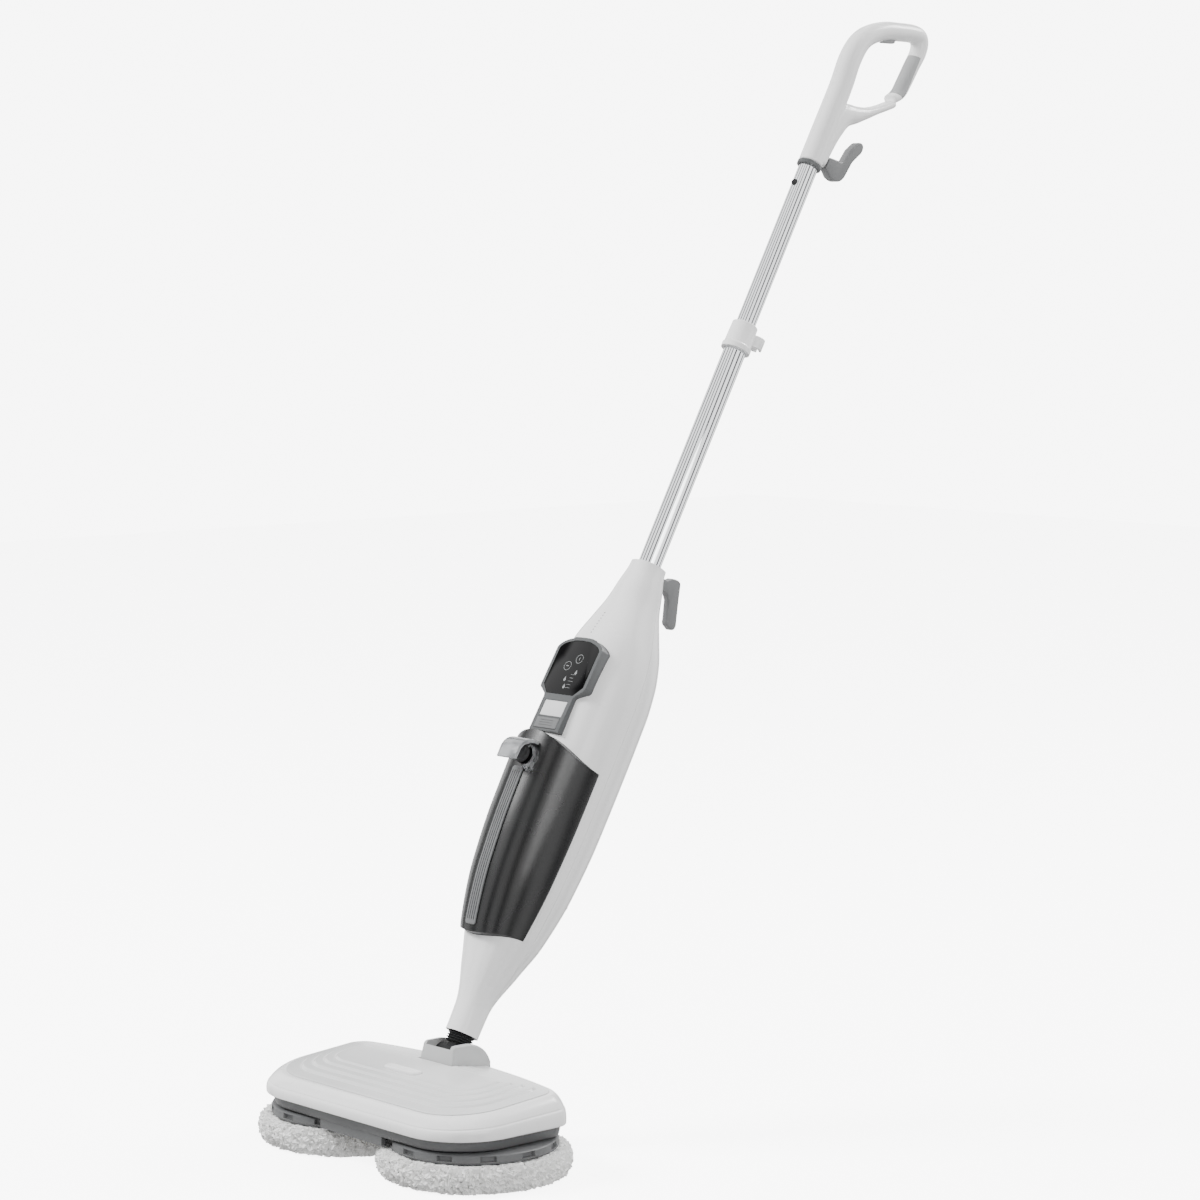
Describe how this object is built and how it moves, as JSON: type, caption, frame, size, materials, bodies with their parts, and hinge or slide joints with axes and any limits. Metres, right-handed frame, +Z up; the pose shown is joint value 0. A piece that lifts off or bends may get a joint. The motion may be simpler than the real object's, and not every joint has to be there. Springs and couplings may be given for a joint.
{
  "type": "spinning-pad steam mop",
  "caption": "Upright steam mop: two round spinning microfibre pads under a wide head, tilting neck, tapered body with smoky water tank and black panel, telescopic pole and loop handle.",
  "frame": {"origin": "on the floor, under the middle of the whole mop's bounding box, pole leaning back in its working pose", "axes": "+Z up; +Y to the rear, the way the pole leans; +X to the mop's left-to-right across the two pads"},
  "size_m": [0.343, 0.749, 1.0353],
  "materials": {
    "white_abs": "glossy white ABS",
    "pale_abs": "glossy pale grey ABS",
    "bracket_grey": "light grey moulded plastic, satin",
    "mid_grey": "mid grey moulded plastic, satin",
    "bezel_grey": "grey plastic, fine satin",
    "hook_grey": "grey plastic, satin",
    "grip_grey": "soft light grey grip rubber",
    "gloss_black": "gloss black plastic",
    "black_rubber": "matt black rubber",
    "smoky_clear": "smoke-tinted clear plastic, polished",
    "chrome": "bright chrome plate on steel tube",
    "steel": "plain turned steel",
    "brass": "turned brass",
    "aluminium": "as-cast aluminium",
    "board_green": "green circuit board",
    "nylon": "natural nylon",
    "microfibre": "short-pile white microfibre"
  },
  "bodies": {
    "head": {"head_cover": "white_abs", "head_top_panel": "pale_abs", "head_chassis": "mid_grey", "neck_bracket": "bracket_grey", "tilt_pin": "steel", "left_ballast_plate": "steel", "right_ballast_plate": "steel", "steam_nozzle": "brass", "drive_motor": "steel", "left_shaft_bush": "brass", "right_shaft_bush": "brass"},
    "pedal": {"foot_pedal": "white_abs"},
    "right_rotor": {"right_mop_pad": "microfibre", "right_pad_disc": "mid_grey", "right_drive_shaft": "steel", "right_worm_wheel": "nylon"},
    "left_rotor": {"left_mop_pad": "microfibre", "left_pad_disc": "mid_grey", "left_drive_shaft": "steel", "left_worm_wheel": "nylon"},
    "motor_rotor": {"worm_shaft": "steel"},
    "neck": {"neck_yoke": "gloss_black", "neck_boot": "black_rubber"},
    "body": {"front_shell": "white_abs", "rear_shell": "white_abs", "roll_pin": "steel", "panel_bezel": "bezel_grey", "panel_window": "gloss_black", "bezel_insert": "pale_abs", "control_board": "board_green", "boiler": "aluminium", "thermostat": "steel", "pump": "mid_grey", "steam_pipe": "nylon", "tank_socket": "black_rubber", "lower_cord_hook": "hook_grey", "cord_gland": "black_rubber", "case_screw_1": "steel", "case_screw_2": "steel", "case_screw_3": "steel", "case_screw_4": "steel", "lower_tube": "chrome", "pole_collar": "white_abs", "cord_clip": "white_abs"},
    "latch": {"tank_latch": "hook_grey"},
    "tank": {"water_tank": "smoky_clear", "tank_strip": "bracket_grey", "tank_lip": "smoky_clear", "tank_cap": "black_rubber", "tank_valve": "nylon", "suction_tube": "nylon"},
    "upper_pole": {"upper_tube": "chrome", "handle_left_shell": "white_abs", "handle_right_shell": "white_abs", "grip_insert": "grip_grey", "handle_ferrule": "bezel_grey", "hook_screw": "steel"},
    "snap": {"snap_button": "black_rubber"},
    "trigger": {"steam_trigger": "hook_grey"},
    "hook": {"upper_cord_hook": "hook_grey"}
  },
  "joints": [
    {"name": "pedal_press", "type": "slide", "parent": "head", "child": "pedal", "axis": [0, 0, -1], "range_m": [0, 0.003], "stiffness_N_per_m": 900, "springref_m": -0.001},
    {"name": "right_pad_spin", "type": "hinge", "parent": "head", "child": "right_rotor", "pos_m": [0.0865, -0.28947, 0], "axis": [0, 0, 1], "continuous": true},
    {"name": "left_pad_spin", "type": "hinge", "parent": "head", "child": "left_rotor", "pos_m": [-0.0865, -0.28947, 0], "axis": [0, 0, 1], "continuous": true},
    {"name": "motor_spin", "type": "hinge", "parent": "head", "child": "motor_rotor", "pos_m": [0, -0.31948, 0.0508], "axis": [1, 0, 0], "continuous": true},
    {"name": "neck_tilt", "type": "hinge", "parent": "head", "child": "neck", "pos_m": [0, -0.24147, 0.0825], "axis": [-1, 0, 0], "range_deg": [-29.2, 33]},
    {"name": "neck_roll", "type": "hinge", "parent": "neck", "child": "body", "pos_m": [0, -0.22879, 0.1052], "axis": [0, 0.8729, -0.4879], "range_deg": [-25, 25], "deforming": ["neck_boot"]},
    {"name": "latch_press", "type": "slide", "parent": "body", "child": "latch", "axis": [0, 0.8729, -0.4879], "range_m": [0, 0.003], "stiffness_N_per_m": 500, "springref_m": -0.001},
    {"name": "tank_removal", "type": "slide", "parent": "body", "child": "tank", "axis": [0, -0.8729, 0.4879], "range_m": [0, 0.12]},
    {"name": "pole_telescope", "type": "slide", "parent": "body", "child": "upper_pole", "axis": [0, 0.4879, 0.8729], "range_m": [-0.145, 0]},
    {"name": "snap_press", "type": "slide", "parent": "upper_pole", "child": "snap", "axis": [0, 0.8729, -0.4879], "range_m": [0, 0.003], "stiffness_N_per_m": 400, "springref_m": -0.001},
    {"name": "trigger_press", "type": "slide", "parent": "upper_pole", "child": "trigger", "axis": [0, 0.0209, 0.9998], "range_m": [0, 0.003], "stiffness_N_per_m": 400, "springref_m": -0.001},
    {"name": "hook_turn", "type": "hinge", "parent": "upper_pole", "child": "hook", "pos_m": [0, 0.23244, 0.89563], "axis": [0, 0.8729, -0.4879], "range_deg": [0, 180]}
  ],
  "couplings": [
    {"joint": "left_pad_spin", "follows": "right_pad_spin", "ratio": -1},
    {"joint": "motor_spin", "follows": "right_pad_spin", "ratio": 20}
  ]
}
